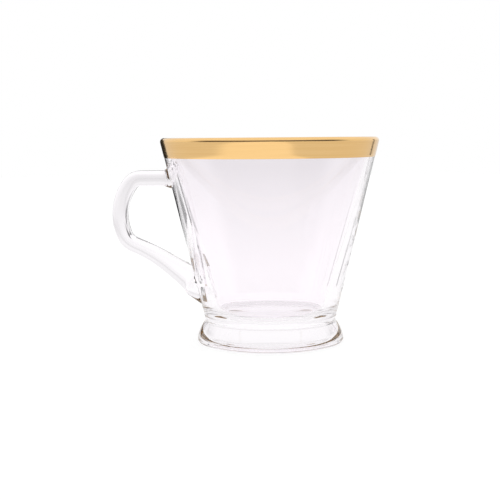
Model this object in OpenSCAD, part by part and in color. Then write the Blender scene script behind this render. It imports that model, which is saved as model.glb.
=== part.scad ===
// Clear pressed-glass coffee cup on a flared foot, with one handle and a gold band round the rim.
// The origin is the centre of the foot's resting ring, +Z runs up the cup and the handle points to -X.

/* [Bowl] */
// Outside diameter of the glass at the rim
rim_diameter = 70; // [60:0.5:80]
// Height of the glass from the table to the top of the lip
cup_height = 66; // [58:0.5:76]
// Radius of the rounded lip, half the glass at the rim
lip_radius = 1.1; // [0.8:0.05:1.6]
// Outside diameter at the waist, where the bowl stands on the foot
waist_diameter = 42.5; // [38:0.1:46]
// Height of the waist above the table
waist_height = 7; // [5.5:0.1:7.4]
// Thickness that the wall reaches at the level of the inside floor
base_wall = 5; // [3:0.1:7]
// How late the wall thickens on the way down, 1 being evenly
wall_swell = 1.2; // [1:0.1:2.5]
// Height of the inside floor above the table
floor_height = 8; // [7.8:0.1:14]
// Height and reach of the curve from the wall into the floor
floor_corner = 6; // [3:0.1:9]

/* [Foot] */
// Outside diameter of the foot
foot_diameter = 47.7; // [44:0.1:54]
// Radius of the rounded edge at the table
foot_edge = 0.9; // [0.5:0.05:1.5]
// Fullness of the flare between edge and waist, 1 being straight
foot_swell = 1.6; // [1:0.1:2.5]
// Width of the flat ring that the cup rests on
ring_width = 3; // [1.5:0.05:4]
// Width of the rounded step from the resting ring up to the recess under the foot
recess_step = 3; // [1.5:0.1:6]
// Depth of the recess under the foot
recess_depth = 1.3; // [0.5:0.1:3]

/* [Handle] */
// Gap between the gold band and the top of the handle
handle_gap = 4.1; // [3:0.1:8]
// Size of the handle across its long face, front to back
handle_depth = 7; // [5:0.1:10]
// Rounding of the handle's long edges
handle_edge = 1.5; // [0.5:0.1:2]
// Thickness of the upper arm and shoulder
arm_thickness = 5; // [4:0.1:6.5]
// Length of the straight upper arm from the wall to the shoulder
arm_length = 9.5; // [7:0.1:13]
// Inside radius of the shoulder
shoulder_radius = 1.8; // [1:0.1:4]
// Turn of the shoulder in degrees
shoulder_turn = 54; // [48:1:60]
// Inside radius of the grip
grip_radius = 14.8; // [12:0.1:18]
// Turn of the grip in degrees
grip_turn = 58; // [52:1:64]
// Thickness at the heel, where the grip turns back to the bowl
heel_thickness = 4.7; // [4:0.1:6]
// Inside radius of the heel
heel_radius = 3.4; // [2:0.1:6]
// Turn of the heel in degrees
heel_turn = 45; // [39:1:51]
// Radius of the lower arm's slight sag
tail_radius = 63; // [45:1:80]
// Turn of the lower arm's sag in degrees
tail_turn = 11.5; // [6:0.5:16]
// Thickness of the lower arm where it meets the wall
tail_thickness = 8.6; // [6:0.1:11]
// Rise of the glass above the upper arm at the wall
joint_flare = 1.7; // [0.5:0.1:2.5]
// Length over which that rise runs out
joint_flare_run = 2.4; // [1.5:0.1:4]

/* [Gold band] */
// Height of the gold band, measured from the top of the lip
band_height = 6.2; // [3:0.1:9]
// Thickness of the gold film
band_film = 0.1; // [0.05:0.01:0.2]

/* [Hidden] */

// Facets of the round shapes, and steps of the curves
$fn = 96;
lip_steps = 12;
wall_steps = 14;
corner_steps = 8;
flare_steps = 8;
bend_steps = 8;
edge_steps = 4;

// Length that cuts run past a face
overrun = 1;

rim_radius = rim_diameter / 2;
waist_radius = waist_diameter / 2;
foot_radius = foot_diameter / 2;
ring_radius = foot_radius - foot_edge - ring_width;

// The outer wall is straight from the waist to the lip, and leans out by this angle
lip_middle = [rim_radius - lip_radius, cup_height - lip_radius];
lip_rise = lip_middle - [waist_radius, waist_height];
wall_lean = atan2(lip_rise.x, lip_rise.y) + asin(lip_radius / norm(lip_rise));
wall_normal = [cos(wall_lean), -sin(wall_lean)];
rim_wall = 2 * lip_radius / cos(wall_lean);
inside_top = (lip_middle - lip_radius * wall_normal).y;

// Outside and inside radius of the bowl at a height: the wall thickens as a power towards the floor
function outside_radius(height) = waist_radius + (height - waist_height) * tan(wall_lean);
function depth_share(height) = (inside_top - height) / (inside_top - floor_height);
function wall_at(height) = rim_wall + (base_wall - rim_wall) * pow(depth_share(height), wall_swell);
function inside_radius(height) = outside_radius(height) - wall_at(height);

// Point on a curve that leaves a towards b and arrives at c from b
function blend(a, b, c, share) =
    pow(1 - share, 2) * a + 2 * share * (1 - share) * b + pow(share, 2) * c;

// Points on an arc from one angle to another
function arc(middle, radius, from, to, steps) =
    [for (i = [0 : steps]) let (angle = from + (to - from) * i / steps)
        middle + radius * [cos(angle), sin(angle)]];

// The lip from the outer wall over the top to the inner wall, on the glass or on the gold
function lip(radius) = arc(lip_middle, radius, -wall_lean, 180 - wall_lean, lip_steps);

// The corner between the inner wall and the floor
corner_top = floor_height + floor_corner;
corner_slope = tan(wall_lean)
    + wall_swell * (base_wall - rim_wall) * pow(depth_share(corner_top), wall_swell - 1)
    / (inside_top - floor_height);
corner_start = [inside_radius(corner_top), corner_top];
corner_knee = [corner_start.x - corner_slope * floor_corner, floor_height];
corner_end = [corner_knee.x - floor_corner, floor_height];

inner_wall = [for (i = [1 : wall_steps])
    let (height = inside_top + (corner_top - inside_top) * i / wall_steps)
        [inside_radius(height), height]];
inner_corner = [for (i = [1 : corner_steps])
    blend(corner_start, corner_knee, corner_end, i / corner_steps)];

// Full outside of the bowl, without its inside
module bowl_outside() {
    rotate_extrude()
        polygon(concat(
            [[0, waist_height], [waist_radius, waist_height]],
            lip(lip_radius),
            [[0, inside_top]]));
}

// Full outside of the foot, without its recess
module foot_outside() {
    rotate_extrude()
        polygon(concat(
            [[0, 0]],
            arc([foot_radius - foot_edge, foot_edge], foot_edge, -90, 0, edge_steps),
            [for (i = [1 : flare_steps])
                [foot_radius - (foot_radius - waist_radius) * pow(i / flare_steps, foot_swell),
                    foot_edge + (waist_height - foot_edge) * i / flare_steps]],
            [[0, waist_height]]));
}

// The step inside the resting ring rises straight from the table and rounds over into the recess
step_start = [ring_radius, 0];
step_knee = [ring_radius, recess_depth];
step_end = [ring_radius - recess_step, recess_depth];

// The shallow recess under the foot
module recess() {
    rotate_extrude()
        polygon(concat(
            [[0, -overrun], [ring_radius, -overrun]],
            [for (i = [0 : corner_steps])
                blend(step_start, step_knee, step_end, i / corner_steps)],
            [[0, recess_depth]]));
}

// Glass bowl with a straight leaning wall, a rounded lip and a flat inside floor
module bowl() {
    color("lavender")
        rotate_extrude()
            polygon(concat(
                [[0, waist_height], [waist_radius, waist_height]],
                lip(lip_radius),
                inner_wall,
                inner_corner,
                [[0, floor_height]]));
}

// Solid flared glass foot under the bowl, with the recess in its underside
module foot() {
    color("thistle")
        difference() {
            foot_outside();
            recess();
        }
}

// The handle follows a line in the XZ plane: upper arm, shoulder, grip, heel, sagging lower arm, wall.
// A heading of 180 degrees points away from the cup, and the finger gap lies on the left of the line.
function ahead(heading) = [cos(heading), sin(heading)];
function left_of(heading) = [-sin(heading), cos(heading)];
function bend(point, heading, radius, turn) =
    point + radius * (left_of(heading) - left_of(heading + turn));

arm_height = cup_height - band_height - handle_gap - arm_thickness / 2;
arm_start = [-outside_radius(arm_height), arm_height];
arm_heading = 180;
shoulder_line = shoulder_radius + arm_thickness / 2;
shoulder_start = arm_start + arm_length * ahead(arm_heading);
grip_line = grip_radius + (arm_thickness + heel_thickness) / 4;
grip_start = bend(shoulder_start, arm_heading, shoulder_line, shoulder_turn);
grip_heading = arm_heading + shoulder_turn;
heel_line = heel_radius + heel_thickness / 2;
heel_start = bend(grip_start, grip_heading, grip_line, grip_turn);
heel_heading = grip_heading + grip_turn;
tail_start = bend(heel_start, heel_heading, heel_line, heel_turn);
tail_heading = heel_heading + heel_turn;
run_start = bend(tail_start, tail_heading, -tail_radius, -tail_turn);
run_heading = tail_heading - tail_turn;

// Straight run of the lower arm up to the wall, and the whole lower arm
run_length = -(run_start.x + outside_radius(run_start.y))
    / (ahead(run_heading).x + ahead(run_heading).y * tan(wall_lean));
sag_length = tail_radius * tail_turn * PI / 180;
tail_length = sag_length + run_length;

// Thickness of the lower arm, growing as a square to the wall and beyond it
function tail_at(distance) =
    heel_thickness + (tail_thickness - heel_thickness) * pow(distance / tail_length, 2);

// Rise of the glass on the outer side of the upper arm near the wall
function rise_at(distance) =
    joint_flare * pow(1 - min(1, max(0, distance) / joint_flare_run), 2);

// A station holds a point on the line, its heading, and the reach to the finger side and to the outer side
function station(point, heading, thickness, rise = 0) =
    [point, heading, thickness / 2, thickness / 2 + rise];

rise_shares = [0, 0.25, 0.5, 0.75, 1];
stations = concat(
    [station(arm_start - arm_thickness * ahead(arm_heading), arm_heading, arm_thickness, joint_flare)],
    [for (share = rise_shares)
        station(arm_start + share * joint_flare_run * ahead(arm_heading), arm_heading,
            arm_thickness, rise_at(share * joint_flare_run))],
    [for (i = [0 : bend_steps - 1])
        station(bend(shoulder_start, arm_heading, shoulder_line, shoulder_turn * i / bend_steps),
            arm_heading + shoulder_turn * i / bend_steps, arm_thickness)],
    [for (i = [0 : bend_steps - 1])
        station(bend(grip_start, grip_heading, grip_line, grip_turn * i / bend_steps),
            grip_heading + grip_turn * i / bend_steps,
            arm_thickness + (heel_thickness - arm_thickness) * i / bend_steps)],
    [for (i = [0 : bend_steps - 1])
        station(bend(heel_start, heel_heading, heel_line, heel_turn * i / bend_steps),
            heel_heading + heel_turn * i / bend_steps, heel_thickness)],
    [for (i = [0 : edge_steps - 1])
        station(bend(tail_start, tail_heading, -tail_radius, -tail_turn * i / edge_steps),
            tail_heading - tail_turn * i / edge_steps, tail_at(sag_length * i / edge_steps))],
    [for (i = [0 : edge_steps])
        station(run_start + run_length * i / edge_steps * ahead(run_heading), run_heading,
            tail_at(sag_length + run_length * i / edge_steps))],
    [station(run_start + (run_length + tail_thickness) * ahead(run_heading), run_heading,
        tail_at(tail_length))]);

// Rounded oblong round one station: finger side first, then on to the back
edge_limit_share = 0.9;
function ring(s) =
    let (edge = min(handle_edge, edge_limit_share * min(s[2], handle_depth / 2)),
        half_depth = handle_depth / 2)
    [for (corner = [0 : 3], step = [0 : edge_steps])
        let (angle = 90 * (corner + step / edge_steps),
            inner = (corner == 0 || corner == 3) ? s[2] - edge : edge - s[3],
            back = (corner < 2) ? half_depth - edge : edge - half_depth,
            across = inner + edge * cos(angle),
            along = back + edge * sin(angle),
            point = s[0] + across * left_of(s[1]))
        [point.x, along, point.y]];

ring_count = 4 * (edge_steps + 1);

// Untrimmed handle, swept along its stations with both ends inside the bowl
module handle_sweep() {
    last = (len(stations) - 1) * ring_count;
    polyhedron(
        points = [for (s = stations) each ring(s)],
        faces = concat(
            [[for (j = [ring_count - 1 : -1 : 0]) j]],
            [for (i = [0 : len(stations) - 2], j = [0 : ring_count - 1])
                let (a = i * ring_count + j, b = i * ring_count + (j + 1) % ring_count)
                each [[a, b, b + ring_count], [a, b + ring_count, a + ring_count]]],
            [[for (j = [0 : ring_count - 1]) last + j]]),
        convexity = 6);
}

// Glass handle, trimmed to the outside of the bowl
module handle() {
    color("plum")
        difference() {
            handle_sweep();
            bowl_outside();
            foot_outside();
        }
}

// Thin gold film on the outside of the rim, over the lip to its inner edge
module gold_band() {
    band_low = cup_height - band_height;
    band_edge = [outside_radius(band_low), band_low];
    glass_lip = lip(lip_radius);
    color("goldenrod")
        rotate_extrude()
            polygon(concat(
                [band_edge, band_edge + band_film * wall_normal],
                lip(lip_radius + band_film),
                [for (i = [lip_steps : -1 : 0]) glass_lip[i]]));
}

bowl();
foot();
handle();
gold_band();
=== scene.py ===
# A clear pressed-glass coffee cup on a flared foot, with one handle and a gold band round its lip.
# The pieces are built from the table up, in metres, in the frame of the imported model.
import math

import bmesh
import bpy
from mathutils import Matrix, Vector


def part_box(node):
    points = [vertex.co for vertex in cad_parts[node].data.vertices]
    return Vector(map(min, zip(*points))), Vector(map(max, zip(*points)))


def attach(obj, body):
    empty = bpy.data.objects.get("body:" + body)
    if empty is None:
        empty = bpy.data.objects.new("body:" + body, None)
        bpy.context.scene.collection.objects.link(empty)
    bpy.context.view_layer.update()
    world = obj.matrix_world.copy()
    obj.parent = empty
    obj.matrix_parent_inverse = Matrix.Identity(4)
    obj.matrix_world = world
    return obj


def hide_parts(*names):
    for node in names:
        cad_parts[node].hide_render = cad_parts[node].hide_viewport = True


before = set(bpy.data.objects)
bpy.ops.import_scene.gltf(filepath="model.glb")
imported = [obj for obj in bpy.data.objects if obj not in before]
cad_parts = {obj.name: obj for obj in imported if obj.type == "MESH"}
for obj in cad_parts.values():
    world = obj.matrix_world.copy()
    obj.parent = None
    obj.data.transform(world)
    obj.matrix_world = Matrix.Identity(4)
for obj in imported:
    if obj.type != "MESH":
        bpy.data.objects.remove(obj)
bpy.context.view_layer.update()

# Foot
# The thick flared disc of clear glass that the cup stands on, with a shallow recess in its underside.
# It is pressed in one shot with the bowl, so light runs straight through the seam at the waist.
mm = 0.001
foot_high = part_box("foot")[1]
foot_radius = foot_high[0]
waist_height = foot_high[2]
waist_radius = 21.25 * mm
foot_edge = 0.9 * mm
foot_swell = 1.6
ring_width = 3.0 * mm
recess_step = 3.0 * mm
recess_depth = 1.3 * mm
waist_fillet = 0.5 * mm
flare_steps = 22
lathe_steps = 240
hair = 0.01 * mm


def straight(start, end, steps):
    """Points of an outline along a straight line, its start left out."""
    return [start.lerp(end, step / steps) for step in range(1, steps + 1)]


def rounded(middle, radius, start, end, steps):
    """Points of an outline along an arc between two angles in degrees."""
    turns = [math.radians(start + (end - start) * step / steps) for step in range(steps + 1)]
    return [middle + radius * Vector((math.cos(turn), math.sin(turn))) for turn in turns]


def eased(start, knee, end, first, last, steps):
    """Points on the curve from start towards knee and round to end, between two shares of it."""
    shares = [first + (last - first) * step / steps for step in range(steps + 1)]
    return [(1 - s) ** 2 * start + 2 * s * (1 - s) * knee + s ** 2 * end for s in shares]


def flare(share):
    """Point on the foot's flared outside, from the table edge at 0 to the waist at 1."""
    return Vector((foot_radius - (foot_radius - waist_radius) * share ** foot_swell,
                   foot_edge + (waist_height - foot_edge) * share))


def lathed(outline):
    """Turn an outline of radius and height once round the cup's axis."""
    mesh = bmesh.new()
    points = [mesh.verts.new((radius, 0, height)) for radius, height in outline]
    edges = [mesh.edges.new(pair) for pair in zip(points, points[1:])]
    bmesh.ops.spin(mesh, geom=points + edges, cent=(0, 0, 0), axis=(0, 0, 1), angle=math.tau,
                   steps=lathe_steps, use_merge=True)
    bmesh.ops.remove_doubles(mesh, verts=mesh.verts, dist=0.002 * mm)
    bmesh.ops.recalc_face_normals(mesh, faces=mesh.faces)
    return mesh


def finished(name, mesh, slot, *materials):
    """Make the piece an object of the cup, smooth but for its real edges."""
    shell = bpy.data.meshes.new(name)
    mesh.to_mesh(shell)
    mesh.free()
    shell.shade_smooth()
    shell.set_sharp_from_angle(angle=math.radians(35))
    for material in materials:
        shell.materials.append(material)
    piece = bpy.data.objects.new(name, shell)
    bpy.context.scene.collection.objects.link(piece)
    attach(piece, "root")
    return piece


def blank(name):
    """A material with one Principled shader, and its node tree."""
    material = bpy.data.materials.new(name)
    material.use_nodes = True
    nodes = material.node_tree.nodes
    return material, nodes, material.node_tree.links, nodes["Principled BSDF"]


def node(nodes, kind, **settings):
    """Add one node and set its properties."""
    made = nodes.new(kind)
    for key, value in settings.items():
        setattr(made, key, value)
    return made


def pressed_glass(name, ripple_scale, ripple, haze):
    """Clear glass with the faint ripple of the mould and a breath of handling haze."""
    material, nodes, links, glass = blank(name)
    glass.inputs["Base Color"].default_value = (0.995, 0.968, 0.993, 1)
    glass.inputs["Transmission Weight"].default_value = 1
    glass.inputs["IOR"].default_value = 1.5
    place = node(nodes, "ShaderNodeTexCoord")
    waves = node(nodes, "ShaderNodeTexNoise")
    waves.inputs["Scale"].default_value = ripple_scale
    waves.inputs["Detail"].default_value = 1
    links.new(place.outputs["Object"], waves.inputs["Vector"])
    bump = node(nodes, "ShaderNodeBump")
    bump.inputs["Strength"].default_value = 1
    bump.inputs["Distance"].default_value = ripple
    links.new(waves.outputs["Fac"], bump.inputs["Height"])
    links.new(bump.outputs["Normal"], glass.inputs["Normal"])
    smears = node(nodes, "ShaderNodeTexNoise")
    smears.inputs["Scale"].default_value = 9 * ripple_scale
    smears.inputs["Detail"].default_value = 4
    links.new(place.outputs["Object"], smears.inputs["Vector"])
    gloss = node(nodes, "ShaderNodeMapRange")
    gloss.inputs["From Min"].default_value = 0.45
    gloss.inputs["From Max"].default_value = 0.75
    gloss.inputs["To Min"].default_value = 0
    gloss.inputs["To Max"].default_value = haze
    links.new(smears.outputs["Fac"], gloss.inputs["Value"])
    links.new(gloss.outputs["Result"], glass.inputs["Roughness"])
    return material, nodes, links, glass


foot_glass = pressed_glass("foot_glass", 90, 0.004 * mm, 0.06)[0]

# Where two pieces of glass are pressed as one, the faces between them let everything through.
fused_seam, nodes, links, clear = blank("fused_seam")
clear.inputs["Alpha"].default_value = 0

bowl_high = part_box("bowl")[1]
rim_radius = bowl_high[0]
cup_height = bowl_high[2]
lip_radius = 1.1 * mm
waist_crease = Vector((waist_radius, waist_height))
lip_middle = Vector((rim_radius - lip_radius, cup_height - lip_radius))
lip_rise = lip_middle - waist_crease
wall_lean = math.atan2(lip_rise.x, lip_rise.y) + math.asin(lip_radius / lip_rise.length)
waist_above = waist_crease + waist_fillet * Vector((math.tan(wall_lean), 1))
fillet_share = waist_fillet / (waist_height - foot_edge)
waist_below = flare(1 - fillet_share)
waist_turn = eased(waist_above, waist_crease, waist_below, 0, 1, 8)
waist_seam = Vector((waist_turn[4].x, waist_height))
waist_middle = Vector((0, waist_height))
ring_inner = Vector((foot_radius - foot_edge - ring_width, 0))
recess_rim = ring_inner + Vector((-recess_step, recess_depth))

foot_outline = [waist_middle] + straight(waist_middle, waist_seam, 4)
foot_outline += waist_turn[5:]
foot_outline += [flare(1 - fillet_share - step / flare_steps) for step in range(1, flare_steps - 2)]
foot_outline += rounded(Vector((foot_radius - foot_edge, foot_edge)), foot_edge, 0, -90, 9)
foot_outline += straight(foot_outline[-1], ring_inner, 2)
foot_outline += eased(ring_inner, ring_inner + Vector((0, recess_depth)), recess_rim, 0, 1, 14)[1:]
foot_outline += straight(recess_rim, Vector((0, recess_depth)), 6)
foot_mesh = lathed(foot_outline)
for face in foot_mesh.faces:
    if face.calc_center_median().z > waist_height - hair and abs(face.normal.z) > 0.99:
        face.material_index = 1
foot = finished("foot_ring", foot_mesh, "clear_glass", foot_glass, fused_seam)
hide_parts("foot")

# Bowl
# The thick clear glass body: a straight leaning wall that thickens to the floor, and a rounded lip.
# Pressed in a mould and fire polished; its floor lies just above the waist, on the solid foot.
base_wall = 5.0 * mm
wall_swell = 1.2
floor_height = 8.0 * mm
floor_corner = 6.0 * mm
band_height = 6.2 * mm
lip_steps = 18
wall_steps = 44
skin = 0.05 * mm

wall_normal = Vector((math.cos(wall_lean), -math.sin(wall_lean)))
rim_wall = 2 * lip_radius / math.cos(wall_lean)
inside_top = (lip_middle - lip_radius * wall_normal).y
band_low = cup_height - band_height


def outside_radius(height):
    return waist_radius + (height - waist_height) * math.tan(wall_lean)


def depth_share(height):
    return (inside_top - height) / (inside_top - floor_height)


def inside_wall(height):
    """Point on the inner wall, which draws in faster and faster towards the floor."""
    wall = rim_wall + (base_wall - rim_wall) * depth_share(height) ** wall_swell
    return Vector((outside_radius(height) - wall, height))


def outside_wall(height):
    return Vector((outside_radius(height), height))


def swept(start, leave, arrive, end, steps):
    """Points on a curve that leaves start towards one point and arrives at end from another."""
    shares = [step / steps for step in range(steps + 1)]
    return [(1 - s) ** 3 * start + 3 * s * (1 - s) ** 2 * leave
            + 3 * s ** 2 * (1 - s) * arrive + s ** 3 * end for s in shares]


corner_top = inside_wall(floor_height + floor_corner)
corner_slope = math.tan(wall_lean) + wall_swell * (base_wall - rim_wall) * (
    depth_share(corner_top.y) ** (wall_swell - 1)) / (inside_top - floor_height)
corner_knee = Vector((corner_top.x - corner_slope * floor_corner, floor_height))

bowl_outline = [waist_middle] + straight(waist_middle, waist_seam, 4)
bowl_outline += waist_turn[3::-1]
bowl_outline += straight(waist_above, outside_wall(band_low), 36)
bowl_outline += straight(outside_wall(band_low), lip_middle + lip_radius * wall_normal, 6)
bowl_outline += rounded(lip_middle, lip_radius, -math.degrees(wall_lean),
                        180 - math.degrees(wall_lean), lip_steps)[1:]
bowl_outline += [inside_wall(inside_top + (corner_top.y - inside_top) * step / wall_steps)
                 for step in range(1, wall_steps + 1)]
floor_middle = Vector((0, floor_height))
bowl_outline += swept(corner_top, corner_top.lerp(corner_knee, 0.8),
                      floor_middle.lerp(corner_knee, 0.9), floor_middle, 40)[1:]
bowl_mesh = lathed(bowl_outline)
inner_lip = (lip_middle - lip_radius * wall_normal).x
for face in bowl_mesh.faces:
    middle = face.calc_center_median()
    reach = math.hypot(middle.x, middle.y)
    on_waist = abs(middle.z - waist_height) < hair and face.normal.z < -0.99
    under_gold = middle.z > band_low and reach > outside_radius(middle.z) - skin
    under_lip_gold = middle.z > inside_top and reach > inner_lip - skin
    if on_waist or under_gold or under_lip_gold:
        face.material_index = 1

# Handle sizes that the bowl's wall needs as well, because the handle's two ends run into it
handle_depth = 7.0 * mm
arm_thickness = 5.0 * mm
arm_length = 9.5 * mm
handle_gap = 4.1 * mm
shoulder_radius = 1.8 * mm
shoulder_turn = 54
grip_radius = 14.8 * mm
grip_turn = 58
heel_thickness = 4.7 * mm
heel_radius = 3.4 * mm
heel_turn = 45
tail_radius = 63 * mm
tail_turn = 11.5
tail_thickness = 8.6 * mm
joint_rise = 1.7 * mm
joint_flare = 0.7 * mm
joint_run = 2.4 * mm
section_squareness = 4.2


def ahead(heading):
    return Vector((math.cos(math.radians(heading)), math.sin(math.radians(heading))))


def finger_side(heading):
    return Vector((-math.sin(math.radians(heading)), math.cos(math.radians(heading))))


def bend(point, heading, radius, turn):
    """Point after a turn of the handle's line, which lies in the XZ plane."""
    return point + radius * (finger_side(heading) - finger_side(heading + turn))


arm_height = band_low - handle_gap - arm_thickness / 2
arm_start = Vector((-outside_radius(arm_height), arm_height))
shoulder_line = shoulder_radius + arm_thickness / 2
shoulder_start = arm_start + arm_length * ahead(180)
grip_line = grip_radius + (arm_thickness + heel_thickness) / 4
grip_heading = 180 + shoulder_turn
grip_start = bend(shoulder_start, 180, shoulder_line, shoulder_turn)
heel_line = heel_radius + heel_thickness / 2
heel_heading = grip_heading + grip_turn
heel_start = bend(grip_start, grip_heading, grip_line, grip_turn)
tail_heading = heel_heading + heel_turn
tail_start = bend(heel_start, heel_heading, heel_line, heel_turn)
run_heading = tail_heading - tail_turn
run_start = bend(tail_start, tail_heading, -tail_radius, -tail_turn)
run_length = -(run_start.x + outside_radius(run_start.y)) / (
    ahead(run_heading).x + ahead(run_heading).y * math.tan(wall_lean))
sag_length = tail_radius * math.radians(tail_turn)
tail_length = sag_length + run_length
run_end = run_start + run_length * ahead(run_heading)
upper_joint = (arm_start, 180, arm_thickness / 2 + joint_flare, arm_thickness / 2 + joint_rise)
lower_joint = (run_end, run_heading, tail_thickness / 2 + joint_flare, tail_thickness / 2 + joint_flare)
joint_depth = handle_depth / 2 + joint_flare

bowl_glass, nodes, links, glass = pressed_glass("bowl_glass", 60, 0.004 * mm, 0.05)


def fused_footprint(joint):
    """Mask in the bowl's glass that is 1 where a handle's end meets it, so that the two read as one."""
    point, heading, finger_reach, outer_reach = joint
    across = finger_side(heading)
    place = node(nodes, "ShaderNodeTexCoord")
    dot = node(nodes, "ShaderNodeVectorMath", operation="DOT_PRODUCT")
    dot.inputs[1].default_value = (across.x, 0, across.y)
    links.new(place.outputs["Object"], dot.inputs[0])
    offset = node(nodes, "ShaderNodeMath", operation="SUBTRACT")
    offset.inputs[1].default_value = across.dot(point)
    links.new(dot.outputs["Value"], offset.inputs[0])
    split = node(nodes, "ShaderNodeSeparateXYZ")
    links.new(place.outputs["Object"], split.inputs["Vector"])
    shares = []
    up, aside = offset.outputs["Value"], split.outputs["Y"]
    for source, reach in ((up, finger_reach), (up, -outer_reach),
                          (aside, joint_depth), (aside, -joint_depth)):
        share = node(nodes, "ShaderNodeMath", operation="DIVIDE")
        share.inputs[1].default_value = reach
        links.new(source, share.inputs[0])
        positive = node(nodes, "ShaderNodeMath", operation="MAXIMUM")
        positive.inputs[1].default_value = 0
        links.new(share.outputs["Value"], positive.inputs[0])
        squared = node(nodes, "ShaderNodeMath", operation="POWER")
        squared.inputs[1].default_value = section_squareness
        links.new(positive.outputs["Value"], squared.inputs[0])
        shares.append(squared.outputs["Value"])
    total = shares[0]
    for share in shares[1:]:
        added = node(nodes, "ShaderNodeMath", operation="ADD")
        links.new(total, added.inputs[0])
        links.new(share, added.inputs[1])
        total = added.outputs["Value"]
    inside = node(nodes, "ShaderNodeMath", operation="LESS_THAN")
    inside.inputs[1].default_value = 1
    links.new(total, inside.inputs[0])
    handle_side = node(nodes, "ShaderNodeMath", operation="LESS_THAN")
    handle_side.inputs[1].default_value = -waist_radius / 2
    links.new(split.outputs["X"], handle_side.inputs[0])
    both = node(nodes, "ShaderNodeMath", operation="MULTIPLY")
    links.new(inside.outputs["Value"], both.inputs[0])
    links.new(handle_side.outputs["Value"], both.inputs[1])
    return both.outputs["Value"]


# Only the outer wall opens to the handle. The mask would reach the inner wall too, so that one has
# a glass of its own.
wall_clearance = 0.3 * mm
inner_glass = pressed_glass("inner_glass", 60, 0.004 * mm, 0.05)[0]
either = node(nodes, "ShaderNodeMath", operation="ADD")
links.new(fused_footprint(upper_joint), either.inputs[0])
links.new(fused_footprint(lower_joint), either.inputs[1])
open_wall = node(nodes, "ShaderNodeMath", operation="SUBTRACT", use_clamp=True)
open_wall.inputs[0].default_value = 1
links.new(either.outputs["Value"], open_wall.inputs[1])
links.new(open_wall.outputs["Value"], glass.inputs["Alpha"])
for face in bowl_mesh.faces:
    middle = face.calc_center_median()
    reach = math.hypot(middle.x, middle.y)
    if face.material_index == 0 and reach < outside_radius(middle.z) - wall_clearance:
        face.material_index = 2
bowl = finished("glass_bowl", bowl_mesh, "clear_glass", bowl_glass, fused_seam, inner_glass)
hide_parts("bowl")

# Handle
# One bent bar of clear glass with flat faces and rounded long edges, for a single finger.
# It is pressed with the cup: both ends swell a little and run into the wall without a joint.
section_points = 56
arm_steps = 13
shoulder_steps = 18
grip_steps = 20
heel_steps = 16
sag_steps = 10
run_steps = 14
crowding = 1.6
slide_steps = 12


def tail_at(distance):
    return heel_thickness + (tail_thickness - heel_thickness) * (distance / tail_length) ** 2


def swell(size, distance):
    return size * (1 - min(1, distance / joint_run)) ** 2


stations = []
for step in range(arm_steps):
    along = arm_length * (step / arm_steps) ** crowding
    stations.append((arm_start + along * ahead(180), 180,
                     arm_thickness / 2 + swell(joint_flare, along),
                     arm_thickness / 2 + swell(joint_rise, along),
                     handle_depth / 2 + swell(joint_flare, along)))
for step in range(shoulder_steps):
    turn = shoulder_turn * step / shoulder_steps
    stations.append((bend(shoulder_start, 180, shoulder_line, turn), 180 + turn,
                     arm_thickness / 2, arm_thickness / 2, handle_depth / 2))
for step in range(grip_steps):
    turn = grip_turn * step / grip_steps
    half = (arm_thickness + (heel_thickness - arm_thickness) * step / grip_steps) / 2
    stations.append((bend(grip_start, grip_heading, grip_line, turn), grip_heading + turn,
                     half, half, handle_depth / 2))
for step in range(heel_steps):
    turn = heel_turn * step / heel_steps
    stations.append((bend(heel_start, heel_heading, heel_line, turn), heel_heading + turn,
                     heel_thickness / 2, heel_thickness / 2, handle_depth / 2))
for step in range(sag_steps):
    turn = tail_turn * step / sag_steps
    half = tail_at(sag_length * step / sag_steps) / 2
    stations.append((bend(tail_start, tail_heading, -tail_radius, -turn), tail_heading - turn,
                     half, half, handle_depth / 2))
for step in range(run_steps + 1):
    along = run_length * (1 - (1 - step / run_steps) ** crowding)
    half = tail_at(sag_length + along) / 2 + swell(joint_flare, run_length - along)
    stations.append((run_start + along * ahead(run_heading), run_heading, half, half,
                     handle_depth / 2 + swell(joint_flare, run_length - along)))

handle_mesh = bmesh.new()
ring = bmesh.ops.create_circle(handle_mesh, segments=section_points, radius=1)["verts"]
section = []
for vert in ring:
    turn = math.atan2(vert.co.y, vert.co.x)
    section.append((math.copysign(abs(math.cos(turn)) ** (2 / section_squareness), math.cos(turn)),
                    math.copysign(abs(math.sin(turn)) ** (2 / section_squareness), math.sin(turn))))


def lay_section(verts, station):
    """Place one ring of the handle round a point of its line."""
    point, heading, finger_reach, outer_reach, half_depth = station
    side = finger_side(heading)
    for vert, (across, back) in zip(verts, section):
        here = point + side * across * (finger_reach if across > 0 else outer_reach)
        vert.co = (here.x, back * half_depth, here.y)


def run_into_wall(verts, heading):
    """Slide an end ring along the handle's line until it lies on the bowl's outer wall."""
    way = ahead(heading)
    for vert in verts:
        for _ in range(slide_steps):
            short = math.hypot(vert.co.x, vert.co.y) - outside_radius(vert.co.z)
            slope = way.x * vert.co.x / math.hypot(vert.co.x, vert.co.y) - way.y * math.tan(wall_lean)
            vert.co.x -= way.x * short / slope
            vert.co.z -= way.y * short / slope


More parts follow.
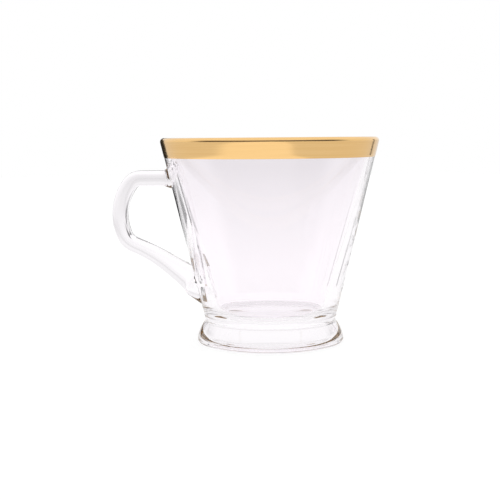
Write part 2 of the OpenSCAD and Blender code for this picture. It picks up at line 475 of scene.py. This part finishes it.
first_ring = ring
lay_section(ring, stations[0])
for station in stations[1:]:
    edges = list({edge for vert in ring for edge in vert.link_edges
                  if edge.verts[0] in ring and edge.verts[1] in ring})
    grown = bmesh.ops.extrude_edge_only(handle_mesh, edges=edges)["geom"]
    fresh = {vert for vert in grown if isinstance(vert, bmesh.types.BMVert)}
    follow = {edge.other_vert(vert): vert for vert in fresh for edge in vert.link_edges
              if edge.other_vert(vert) not in fresh}
    ring = [follow[vert] for vert in ring]
    lay_section(ring, station)
run_into_wall(first_ring, 180)
run_into_wall(ring, run_heading)
for end_ring in (first_ring, ring):
    cap = bmesh.ops.contextual_create(handle_mesh, geom=end_ring)["faces"][0]
    cap.material_index = 1
bmesh.ops.recalc_face_normals(handle_mesh, faces=handle_mesh.faces)
handle_glass = pressed_glass("handle_glass", 75, 0.006 * mm, 0.05)[0]
handle = finished("glass_handle", handle_mesh, "clear_glass", handle_glass, fused_seam)
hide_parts("handle")

# Gold band
# A thin film of bright gold, painted on the rim with a banding wheel and fired on.
# It covers the outside of the lip, feathers out at its lower edge and stops just inside the cup.
band_film = 0.1 * mm
band_feather = 0.5 * mm
band_lift = 0.01 * mm
band_edge = outside_wall(band_low) + band_lift * wall_normal
band_face = outside_wall(band_low + band_feather) + band_film * wall_normal
band_outline = [band_edge] + straight(band_edge, band_face, 3)
band_outline += straight(band_face, lip_middle + (lip_radius + band_film) * wall_normal, 6)
band_outline += rounded(lip_middle, lip_radius + band_film, -math.degrees(wall_lean),
                        180 - math.degrees(wall_lean), lip_steps)[1:]
band_outline += rounded(lip_middle, lip_radius + band_lift, 180 - math.degrees(wall_lean),
                        -math.degrees(wall_lean), lip_steps)
band_outline += straight(band_outline[-1], band_edge, 6)
gold, nodes, links, shine = blank("fired_gold")
shine.inputs["Metallic"].default_value = 1
place = node(nodes, "ShaderNodeTexCoord")
strokes = node(nodes, "ShaderNodeMapping")
strokes.inputs["Scale"].default_value = (30, 30, 2600)
links.new(place.outputs["Object"], strokes.inputs["Vector"])
brushing = node(nodes, "ShaderNodeTexNoise")
brushing.inputs["Scale"].default_value = 1
brushing.inputs["Detail"].default_value = 3
links.new(strokes.outputs["Vector"], brushing.inputs["Vector"])
tone = node(nodes, "ShaderNodeValToRGB")
tone.color_ramp.elements[0].position = 0.3
tone.color_ramp.elements[0].color = (0.90, 0.57, 0.235, 1)
tone.color_ramp.elements[1].position = 0.75
tone.color_ramp.elements[1].color = (0.96, 0.64, 0.29, 1)
links.new(brushing.outputs["Fac"], tone.inputs["Fac"])
links.new(tone.outputs["Color"], shine.inputs["Base Color"])
polish = node(nodes, "ShaderNodeMapRange")
polish.inputs["To Min"].default_value = 0.08
polish.inputs["To Max"].default_value = 0.2
links.new(brushing.outputs["Fac"], polish.inputs["Value"])
links.new(polish.outputs["Result"], shine.inputs["Roughness"])
grain = node(nodes, "ShaderNodeBump")
grain.inputs["Strength"].default_value = 0.15
grain.inputs["Distance"].default_value = 0.01 * mm
links.new(brushing.outputs["Fac"], grain.inputs["Height"])
links.new(grain.outputs["Normal"], shine.inputs["Normal"])

# The underside of the film, seen through the glass from inside the cup, is a dull brown gold.
underside, nodes, links, matt = blank("gold_underside")
matt.inputs["Metallic"].default_value = 1
matt.inputs["Roughness"].default_value = 0.4
place = node(nodes, "ShaderNodeTexCoord")
mottle = node(nodes, "ShaderNodeTexNoise")
mottle.inputs["Scale"].default_value = 400
links.new(place.outputs["Object"], mottle.inputs["Vector"])
dull = node(nodes, "ShaderNodeValToRGB")
dull.color_ramp.elements[0].color = (0.70, 0.56, 0.38, 1)
dull.color_ramp.elements[1].color = (0.78, 0.64, 0.46, 1)
links.new(mottle.outputs["Fac"], dull.inputs["Fac"])
links.new(dull.outputs["Color"], matt.inputs["Base Color"])
band_mesh = lathed(band_outline)
for face in band_mesh.faces:
    middle = face.calc_center_median()
    reach = math.hypot(middle.x, middle.y)
    facing = Vector(((face.normal.x * middle.x + face.normal.y * middle.y) / reach, face.normal.z))
    here = Vector((reach, middle.z))
    if facing.dot(lip_middle - here if here.y > lip_middle.y else -wall_normal) > 0:
        face.material_index = 1
band = finished("gold_rim_band", band_mesh, "gold", gold, underside)
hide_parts("gold_band")

# Table
# A sheet of white paper under the cup, whose glow holds painted light: a painted pool of light before
# it that is dimmer far away, and a painted bright strip for the gold.
# It is white to the camera, shows in the glass and the gold, and its soft part takes the shadow.
paper_mesh = bmesh.new()
bmesh.ops.create_circle(paper_mesh, cap_ends=True, segments=96, radius=1.5)
bmesh.ops.translate(paper_mesh, verts=paper_mesh.verts, vec=(0, 0, -0.02 * mm))
paper_shell = bpy.data.meshes.new("paper_table")
paper_mesh.to_mesh(paper_shell)
paper_mesh.free()
table = bpy.data.objects.new("paper_table", paper_shell)
bpy.context.scene.collection.objects.link(table)
paper = bpy.data.materials.new("white_paper")
paper.use_nodes = True
nodes, links = paper.node_tree.nodes, paper.node_tree.links
nodes.clear()


def ramp(source, low, high, stops):
    """Colours along a value, in the node tree at hand, with stops given as value and colour."""
    share = node(nodes, "ShaderNodeMapRange")
    share.inputs["From Min"].default_value = low
    share.inputs["From Max"].default_value = high
    links.new(source, share.inputs["Value"])
    colours = node(nodes, "ShaderNodeValToRGB")
    elements = colours.color_ramp.elements
    elements.remove(elements[1])
    for value, colour in stops:
        elements.new((value - low) / (high - low)).color = (*colour, 1)
    elements.remove(elements[0])
    links.new(share.outputs["Result"], colours.inputs["Fac"])
    return colours.outputs["Color"]


def mixed(factor, first, second):
    """Colour that goes from the first to the second with a factor, in the node tree at hand."""
    mix = node(nodes, "ShaderNodeMix", data_type="RGBA")
    links.new(factor, mix.inputs["Factor"])
    for source, socket in ((first, mix.inputs[6]), (second, mix.inputs[7])):
        if isinstance(source, tuple):
            socket.default_value = (*source, 1)
        else:
            links.new(source, socket)
    return mix.outputs[2]


finish = node(nodes, "ShaderNodeOutputMaterial")
rays = node(nodes, "ShaderNodeLightPath")
place = node(nodes, "ShaderNodeTexCoord")
far = node(nodes, "ShaderNodeVectorMath", operation="LENGTH")
links.new(place.outputs["Object"], far.inputs[0])
split = node(nodes, "ShaderNodeSeparateXYZ")
links.new(place.outputs["Object"], split.inputs["Vector"])
# Painted light seen through the glass: a painted pool of light round the cup that dims far away, and a
# narrow painted shadow, the line of shadow where the foot's ring touches the paper.
painted_pool_and_shadow = ramp(far.outputs["Value"], 0, 1.5, [(reach, (level, level, level)) for reach, level in (
    (0.0224, 1.0), (0.0229, 0.82), (0.0232, 0.82), (0.0237, 1.0), (0.12, 1.0), (0.17, 0.97),
    (0.28, 0.91), (0.52, 0.82), (0.75, 0.76), (1.4, 0.72))])
# Painted reflection: a bright strip across the paper with darker sides, seen only in reflections, which
# lights and shades the gold.
painted_gold_strip = ramp(split.outputs["X"], -0.3, 0.3, [(across, (level, level, level)) for across, level in (
    (-0.146, 0.7), (-0.113, 1.0), (0.052, 1.0), (0.066, 0.7))])
seen = mixed(rays.outputs["Is Glossy Ray"], (0, 0, 0), painted_gold_strip)
seen = mixed(rays.outputs["Is Transmission Ray"], seen, painted_pool_and_shadow)
seen = mixed(rays.outputs["Is Camera Ray"], seen, (1, 1, 1))
glow = node(nodes, "ShaderNodeEmission")
glow.inputs["Strength"].default_value = 0.83
links.new(seen, glow.inputs["Color"])
soft = node(nodes, "ShaderNodeBsdfDiffuse")
soft.inputs["Color"].default_value = (0.26, 0.26, 0.26, 1)
both = node(nodes, "ShaderNodeAddShader")
links.new(glow.outputs["Emission"], both.inputs[0])
links.new(soft.outputs["BSDF"], both.inputs[1])
links.new(both.outputs["Shader"], finish.inputs["Surface"])
paper_shell.materials.append(paper)

# Light
# A tent of pale cloth, brightest overhead and dark towards the camera, where it is open.
# Black cards beside and behind the cup shade the ends of the gold and line the edges of the glass.
world = bpy.data.worlds.new("light_tent")
bpy.context.scene.world = world
world.use_nodes = True
nodes, links = world.node_tree.nodes, world.node_tree.links
nodes.clear()
finish = node(nodes, "ShaderNodeOutputWorld")
tent = node(nodes, "ShaderNodeBackground")
links.new(tent.outputs["Background"], finish.inputs["Surface"])
way = node(nodes, "ShaderNodeTexCoord")
split = node(nodes, "ShaderNodeSeparateXYZ")
links.new(way.outputs["Generated"], split.inputs["Vector"])
cloth = ramp(split.outputs["Z"], -1, 1, [(height, (level, level, level)) for height, level in (
    (-0.03, 0.8), (0.0, 0.84), (0.08, 0.95), (0.3, 0.92), (0.6, 1.0))])
opening = node(nodes, "ShaderNodeMapRange", interpolation_type="SMOOTHSTEP")
opening.inputs["From Min"].default_value = 0.1
opening.inputs["From Max"].default_value = -0.4
links.new(split.outputs["Y"], opening.inputs["Value"])
low_down = node(nodes, "ShaderNodeMapRange", interpolation_type="SMOOTHSTEP")
low_down.inputs["From Min"].default_value = 0.6
low_down.inputs["From Max"].default_value = 0.4
links.new(split.outputs["Z"], low_down.inputs["Value"])
gap = node(nodes, "ShaderNodeMath", operation="MULTIPLY")
links.new(opening.outputs["Result"], gap.inputs[0])
links.new(low_down.outputs["Result"], gap.inputs[1])
room = mixed(gap.outputs["Value"], cloth, (0.14, 0.13, 0.13))
rays = node(nodes, "ShaderNodeLightPath")
links.new(mixed(rays.outputs["Is Camera Ray"], room, (1, 1, 1)), tent.inputs["Color"])


def matt_black(name):
    """Black paper without gloss."""
    material, nodes, links, shade = blank(name)
    shade.inputs["Base Color"].default_value = (0.02, 0.02, 0.02, 1)
    shade.inputs["Roughness"].default_value = 0.9
    return material, nodes, links, shade


card_black = matt_black("card_black")[0]

# The cards that show in the glass fade out to their sides and their top, as a flag out of focus does.
card_soft, nodes, links, shade = matt_black("card_soft")
place = node(nodes, "ShaderNodeTexCoord")
from_foot = node(nodes, "ShaderNodeMapping")
from_foot.inputs["Location"].default_value = (-1, 0, 0)
from_foot.inputs["Scale"].default_value = (2, 1, 0)
links.new(place.outputs["UV"], from_foot.inputs["Vector"])
fading = node(nodes, "ShaderNodeTexGradient", gradient_type="SPHERICAL")
links.new(from_foot.outputs["Vector"], fading.inputs["Vector"])
cover = node(nodes, "ShaderNodeMapRange", interpolation_type="SMOOTHSTEP")
cover.inputs["From Max"].default_value = 0.6
cover.inputs["To Max"].default_value = 0.85
links.new(fading.outputs["Fac"], cover.inputs["Value"])
links.new(cover.outputs["Result"], shade.inputs["Alpha"])


def black_card(name, black, distance, start, end, height):
    """A card on the table, bent round the cup's axis between two turns from straight behind the cup."""
    mesh = bmesh.new()
    turn = math.radians(start)
    corner = mesh.verts.new((distance * math.sin(turn), distance * math.cos(turn), 0))
    bmesh.ops.spin(mesh, geom=[corner], cent=(0, 0, 0), axis=(0, 0, -1),
                   angle=math.radians(end - start), steps=8)
    raised = bmesh.ops.extrude_edge_only(mesh, edges=mesh.edges[:])["geom"]
    top = [part for part in raised if isinstance(part, bmesh.types.BMVert)]
    bmesh.ops.translate(mesh, verts=top, vec=(0, 0, height))
    unrolled = mesh.loops.layers.uv.new("UVMap")
    for loop in [loop for face in mesh.faces for loop in face.loops]:
        turn = math.degrees(math.atan2(loop.vert.co.x, loop.vert.co.y))
        loop[unrolled].uv = ((turn - start) / (end - start), loop.vert.co.z / height)
    shell = bpy.data.meshes.new(name)
    mesh.to_mesh(shell)
    mesh.free()
    shell.materials.append(black)
    card = bpy.data.objects.new(name, shell)
    bpy.context.scene.collection.objects.link(card)
    card.visible_camera = card.visible_diffuse = card.visible_shadow = False
    return card


for card in (black_card("left_gold_card", card_black, 0.3, -42, -7, 0.12),
             black_card("right_gold_card", card_black, 0.3, 43.8, 47.4, 0.12)):
    card.visible_transmission = False
for card in (black_card("left_wall_card", card_soft, 0.143, -50, -31, 0.03),
             black_card("right_wall_card", card_soft, 0.06, 48.4, 52, 0.05),
             black_card("handle_card", card_soft, 0.097, -61.5, -56.5, 0.08)):
    card.visible_glossy = False

# Camera
# Close to the cup at the height of its lip, looking a little down, with the cup right of the middle.
photo_width = 500
lens_pixels = 1044.75
cup_column = 270.1
sensor_width = 36
camera_place = Vector((0, -338.6, 66.15)) * mm
camera_dip = math.radians(6.157)
camera_turn = math.atan((cup_column - photo_width / 2) / lens_pixels)
camera_roll = math.radians(-0.47)
camera = bpy.data.cameras.new("photo_camera")
camera.sensor_width = sensor_width
camera.lens = sensor_width * lens_pixels / photo_width
camera.clip_start = 0.01
viewer = bpy.data.objects.new("photo_camera", camera)
viewer.matrix_world = (Matrix.Translation(camera_place)
                       @ Matrix.Rotation(camera_turn, 4, "Z")
                       @ Matrix.Rotation(math.pi / 2 - camera_dip, 4, "X")
                       @ Matrix.Rotation(camera_roll, 4, "Z"))
bpy.context.scene.collection.objects.link(viewer)
bpy.context.scene.camera = viewer
bpy.context.scene.view_settings.view_transform = "Standard"
# Light that runs along inside the wall is turned back many times before it leaves the glass.
bpy.context.scene.cycles.max_bounces = 48
bpy.context.scene.cycles.glossy_bounces = 40
bpy.context.scene.cycles.transmission_bounces = 40
bpy.context.scene.cycles.transparent_max_bounces = 24
